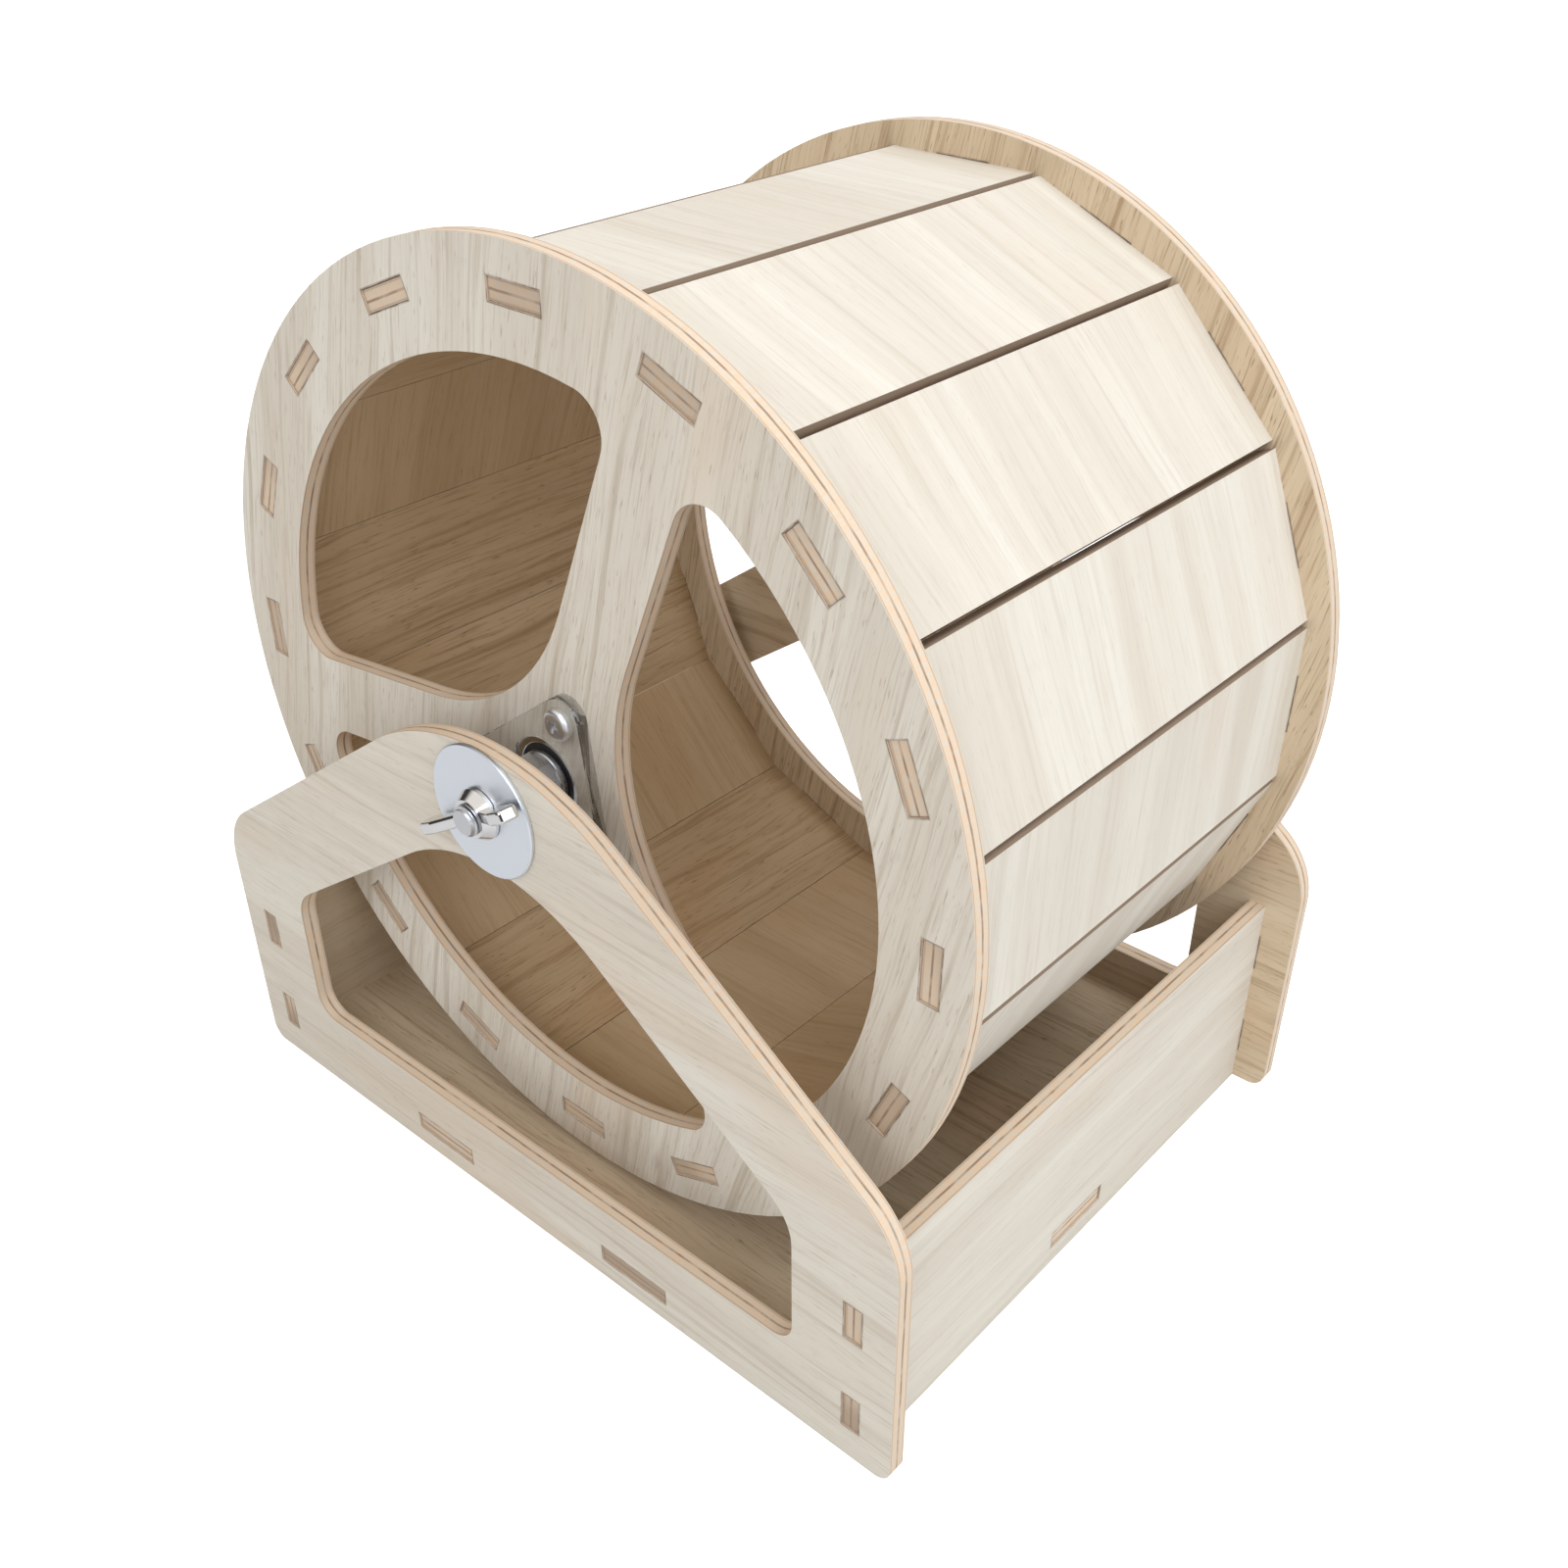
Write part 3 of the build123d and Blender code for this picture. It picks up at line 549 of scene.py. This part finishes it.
def drum_plywood(name, grain_along_axle, contrast):
    """Plywood of the running boards, with the grain across the board or along the axle."""
    material, tree, shader = new_material(name)
    place = new_node(tree, "ShaderNodeTexCoord")
    layout = new_node(tree, "ShaderNodeGroup", node_tree=DRUM_BOARD)
    tree.links.new(place.outputs["Object"], layout.inputs["Position"])
    tree.links.new(place.outputs["Normal"], layout.inputs["Direction"])
    order = ("Across", "Along") if grain_along_axle else ("Along", "Across")
    values = {0: layout.outputs[order[0]], 1: layout.outputs[order[1]], 2: layout.outputs["Through"]}
    board = new_node(tree, "ShaderNodeCombineXYZ", values).outputs[0]
    # Painted shade: the boards' long sides, in the gaps between boards, and their tab ends are darkened
    from_middle = math_node(tree, "ABSOLUTE", layout.outputs["Across"])
    beyond_tab = smooth_step(tree, from_middle, *TAB_EDGE_RANGE)
    painted_shade = math_node(tree, "MULTIPLY", beyond_tab, BOARD_SIDE_SHADE)
    painted_shade = math_node(tree, "MAXIMUM", painted_shade, shaded_tab_ends(tree, place, BOARD_TAB_SHADE))
    # The boards' inner faces, under the drum, take the back colour: partly real back veneer, partly
    # painted shade
    finish_plywood(
        tree, shader, Board=board, Face=layout.outputs["Face"], Back=layout.outputs["Inner"], Kerf=1.0,
        Scorch=painted_shade, Seed=layout.outputs["Number"], Contrast=contrast,
    )
    return material


def plated_steel(name, colour, roughness, variation):
    """Metal whose colour varies in soft clouds and whose gloss varies in fine specks."""
    material, tree, shader = new_material(name)
    place = new_node(tree, "ShaderNodeTexCoord").outputs["Object"]
    clouds = stretched_noise(tree, place, 5.0, 5.0, 5.0, detail=3.0)
    specks = stretched_noise(tree, place, 0.5, 0.5, 0.5, detail=2.0)
    shade = math_node(tree, "MULTIPLY_ADD", clouds, variation, 1.0 - variation / 2)
    darker = tuple(DARKER_SHARE * channel for channel in colour)
    tint = mix_colour(tree, shade, darker, colour)
    gloss = math_node(tree, "MULTIPLY_ADD", specks, SPECK_ROUGHNESS, roughness)
    tree.links.new(tint, shader.inputs["Base Color"])
    tree.links.new(gloss, shader.inputs["Roughness"])
    shader.inputs["Metallic"].default_value = 1.0
    return material


def threaded_steel(name, colour, roughness, variation):
    """Plated bolt: a helical thread on the round shank, as height from angle plus axial distance.

    The height is a triangle wave of (angle / full turn + distance along the axle / pitch), and
    it fades out where the surface faces along the axle or lies outside the shank.
    """
    material = plated_steel(name, colour, roughness, variation)
    tree = material.node_tree
    place = new_node(tree, "ShaderNodeTexCoord")
    axes = new_node(tree, "ShaderNodeSeparateXYZ", {0: place.outputs["Object"]})
    normal = new_node(tree, "ShaderNodeSeparateXYZ", {0: place.outputs["Normal"]})
    x, y = axes.outputs[0], axes.outputs[1]
    z = math_node(tree, "SUBTRACT", axes.outputs[2], AXLE_HEIGHT)
    turns = math_node(tree, "DIVIDE", math_node(tree, "ARCTAN2", z, x), 2 * math.pi)
    phase = math_node(tree, "MULTIPLY_ADD", y, 1.0 / THREAD_PITCH, turns)
    wave = math_node(tree, "PINGPONG", phase, 0.5)
    squares = math_node(tree, "MULTIPLY_ADD", x, x, math_node(tree, "MULTIPLY", z, z))
    radius = math_node(tree, "SQRT", squares)
    shank = math_node(tree, "LESS_THAN", radius, THREAD_RADIUS)
    sideways = math_node(tree, "SUBTRACT", 1.0, math_node(tree, "ABSOLUTE", normal.outputs[1]))
    shank = math_node(tree, "MULTIPLY", shank, smooth_step(tree, sideways, 0.1, 0.3))
    height = math_node(tree, "MULTIPLY", wave, shank)
    values = {"Strength": 1.0, "Distance": THREAD_PITCH, "Height": height}
    bump = new_node(tree, "ShaderNodeBump", values)
    tree.links.new(bump.outputs[0], tree.nodes["Principled BSDF"].inputs["Normal"])
    return material


def clear_plastic(name):
    """Clear sheet plastic with faintly hazy patches, which lets light and shadow rays through."""
    material, tree, shader = new_material(name)
    place = new_node(tree, "ShaderNodeTexCoord").outputs["Object"]
    haze = stretched_noise(tree, place, 6.0, 6.0, 6.0, detail=3.0)
    tree.links.new(math_node(tree, "MULTIPLY_ADD", haze, 0.08, 0.03), shader.inputs["Roughness"])
    tint = mix_colour(tree, haze, (0.90, 0.91, 0.90), (0.97, 0.97, 0.97))
    tree.links.new(tint, shader.inputs["Base Color"])
    shader.inputs["Transmission Weight"].default_value = 1.0
    shader.inputs["IOR"].default_value = PLASTIC_IOR
    rays = new_node(tree, "ShaderNodeLightPath")
    passing = math_node(tree, "MAXIMUM", rays.outputs["Is Shadow Ray"], rays.outputs["Is Diffuse Ray"])
    alpha = math_node(tree, "MULTIPLY_ADD", passing, -LIGHT_PASSED, 1.0)
    tree.links.new(alpha, shader.inputs["Alpha"])
    return material


def black_rubber(name):
    """Matt black moulded rubber with a fine dusty bloom."""
    material, tree, shader = new_material(name)
    place = new_node(tree, "ShaderNodeTexCoord").outputs["Object"]
    bloom = stretched_noise(tree, place, 1.5, 1.5, 1.5, detail=4.0)
    tint = mix_colour(tree, bloom, (0.010, 0.010, 0.011), (0.045, 0.043, 0.041))
    tree.links.new(tint, shader.inputs["Base Color"])
    tree.links.new(math_node(tree, "MULTIPLY_ADD", bloom, 0.2, 0.4), shader.inputs["Roughness"])
    return material


def dress(material, *names):
    """Gives these model pieces one material."""
    for name in names:
        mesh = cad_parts[name].data
        mesh.materials.clear()
        mesh.materials.append(material)


def make_camera():
    """The photograph's camera, with the lens shift that its off-centre crop needs."""
    data = bpy.data.cameras.new("camera")
    data.sensor_width = SENSOR_WIDTH
    data.lens = FOCAL_PIXELS / IMAGE_SIZE * SENSOR_WIDTH
    data.shift_x = -PRINCIPAL_RIGHT_PIXELS / IMAGE_SIZE
    data.shift_y = PRINCIPAL_DOWN_PIXELS / IMAGE_SIZE
    data.clip_start, data.clip_end = 0.01, 50.0
    camera = bpy.data.objects.new("camera", data)
    turn = Matrix.Rotation(CAMERA_TURN, 4, "Z")
    tilt = Matrix.Rotation(CAMERA_TILT, 4, "X")
    roll = Matrix.Rotation(CAMERA_ROLL, 4, "Y")
    camera.matrix_world = Matrix.Translation(CAMERA_PLACE) @ turn @ tilt @ roll
    bpy.context.scene.collection.objects.link(camera)
    bpy.context.scene.camera = camera


def make_floor():
    """A wide white floor, partly self-lit so that shadows on it stay faint."""
    half = FLOOR_HALF_WIDTH
    mesh = bpy.data.meshes.new("floor")
    corners = [(-half, -half, 0.0), (half, -half, 0.0), (half, half, 0.0), (-half, half, 0.0)]
    mesh.from_pydata(corners, [], [(0, 1, 2, 3)])
    floor = bpy.data.objects.new("floor", mesh)
    bpy.context.scene.collection.objects.link(floor)
    material, tree, shader = new_material("white_floor")
    shader.inputs["Base Color"].default_value = FLOOR_COLOUR
    shader.inputs["Roughness"].default_value = FLOOR_ROUGHNESS
    shader.inputs["Emission Color"].default_value = (1.0, 1.0, 1.0, 1.0)
    seen = new_node(tree, "ShaderNodeLightPath").outputs["Is Camera Ray"]
    glow = math_node(tree, "MULTIPLY_ADD", seen, FLOOR_GLOW_ADDED, FLOOR_GLOW_LEAST)
    tree.links.new(glow, shader.inputs["Emission Strength"])
    mesh.materials.append(material)


def make_area_light(name, place, aim, size, power):
    """A large soft lamp at place, turned towards aim."""
    data = bpy.data.lights.new(name, "AREA")
    data.size = size
    data.energy = power
    data.color = LAMP_COLOUR
    lamp = bpy.data.objects.new(name, data)
    back = Matrix.Translation(place).translation - Matrix.Translation(aim).translation
    lamp.matrix_world = Matrix.Translation(place) @ back.to_track_quat("Z", "Y").to_matrix().to_4x4()
    bpy.context.scene.collection.objects.link(lamp)


def make_world():
    """Soft studio surround: bright overhead, with a darker horizon for the metal to mirror."""
    world = bpy.data.worlds.new("studio")
    bpy.context.scene.world = world
    world.use_nodes = True
    tree = world.node_tree
    background = tree.nodes["Background"]
    up = new_node(tree, "ShaderNodeTexCoord").outputs["Generated"]
    height = new_node(tree, "ShaderNodeSeparateXYZ", {0: up}).outputs[2]
    level = smooth_step(tree, height, *WORLD_RISE)
    soft = math_node(tree, "MULTIPLY_ADD", level, WORLD_ADDED, WORLD_LEAST)
    mirrored_level = smooth_step(tree, height, *MIRRORED_RISE)
    mirrored = math_node(tree, "MULTIPLY_ADD", mirrored_level, MIRRORED_ADDED, MIRRORED_LEAST)
    glossy = new_node(tree, "ShaderNodeLightPath").outputs["Is Glossy Ray"]
    strength = new_node(tree, "ShaderNodeMix", {0: glossy, 2: soft, 3: mirrored}).outputs[0]
    tree.links.new(strength, background.inputs["Strength"])
    background.inputs["Color"].default_value = WORLD_COLOUR


VENEER = make_veneer_group()
PLY_EDGE = make_ply_edge_group()
PLYWOOD = make_plywood_group()
FLAT_BOARD = make_flat_board_group()
DRUM_BOARD = make_drum_board_group()

make_camera()

# Turning the discs and frames about X brings their thickness to Z; the grain then lies on Y.
# The discs show their backs to each other, and so do the frames and the end panels; these inward sides
# get the darker, warmer back colour, partly real back veneer and partly painted shade.
UPRIGHT = math.radians(90)
DISC_TURN = (-UPRIGHT, 0.0, math.radians(14))
FRAME_TURN = (-UPRIGHT, 0.0, UPRIGHT)
END_PANEL_TURN = (0.0, -UPRIGHT, 0.0)
FLOOR_TURN = (0.0, 0.0, UPRIGHT)
for name, seed, shaded_back_side in (("front_disc", 3.0, -1.0), ("rear_disc", 8.0, 1.0)):
    near = -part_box(name)[1].y
    finish = (DISC_TURN, near, seed, DISC_CONTRAST, shaded_back_side, disc_slots)
    dress(flat_plywood(f"{name}_plywood", *finish), name)
for name, seed, shaded_back_side in (("front_frame", 21.0, -1.0), ("rear_frame", 25.0, 1.0)):
    near = -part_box(name)[1].y
    finish = (FRAME_TURN, near, seed, FRAME_CONTRAST, shaded_back_side, frame_slots)
    dress(flat_plywood(f"{name}_plywood", *finish), name)
for name, seed, shaded_back_side in (("left_end_panel", 31.0, 1.0), ("right_end_panel", 37.0, -1.0)):
    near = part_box(name)[0].x
    finish = (END_PANEL_TURN, near, seed, END_PANEL_CONTRAST, shaded_back_side, panel_slots, PANEL_TAB_SHADE)
    dress(flat_plywood(f"{name}_plywood", *finish), name)
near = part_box("floor_panel")[0].z
finish = (FLOOR_TURN, near, 43.0, FLOOR_CONTRAST, 1.0, no_slots, FLOOR_TAB_SHADE)
dress(flat_plywood("floor_plywood", *finish), "floor_panel")

across_grain = drum_plywood("running_boards_across_grain", False, ACROSS_GRAIN_CONTRAST)
along_grain = drum_plywood("running_boards_along_grain", True, ALONG_AXLE_CONTRAST)
for number in range(1, BOARD_COUNT + 1):
    dress(along_grain if number in ALONG_AXLE_BOARDS else across_grain, f"slat_{number:02d}")

zinc = plated_steel("zinc_plate", *ZINC)
bolt_zinc = threaded_steel("threaded_zinc_plate", *BOLT_ZINC)
screw_zinc = plated_steel("screw_zinc_plate", *SCREW_ZINC)
washer_zinc = plated_steel("blue_white_zinc", *WASHER_ZINC)
nickel = plated_steel("bright_nickel", *NICKEL)
bearing_steel = plated_steel("ground_bearing_steel", *BEARING_STEEL)
rubber = black_rubber("black_rubber")
acrylic = clear_plastic("clear_acrylic")
for side in ("front", "rear"):
    dress(acrylic, f"{side}_bearing_plate")
    dress(zinc, f"{side}_bolt_washer")
    dress(bolt_zinc, f"{side}_axle_bolt")
    dress(screw_zinc, f"{side}_plate_screws")
    dress(washer_zinc, f"{side}_fender_washer")
    dress(nickel, f"{side}_wing_nut")
    dress(bearing_steel, f"{side}_bearing_outer_ring", f"{side}_bearing_inner_ring")
    dress(bearing_steel, f"{side}_bearing_balls", f"{side}_bearing_cage")
    dress(rubber, f"{side}_bearing_seals")
dress(zinc, "front_bearing_washer", "front_bearing_nut", "front_lock_nut", "front_lock_washer")
dress(zinc, "rear_spacer")

make_floor()
make_world()
WHEEL_CENTRE = (0.0, 0.0, AXLE_HEIGHT)
for name, place, size, power in LAMPS:
    make_area_light(name, place, WHEEL_CENTRE, size, power)
bpy.context.scene.view_settings.view_transform = "Standard"
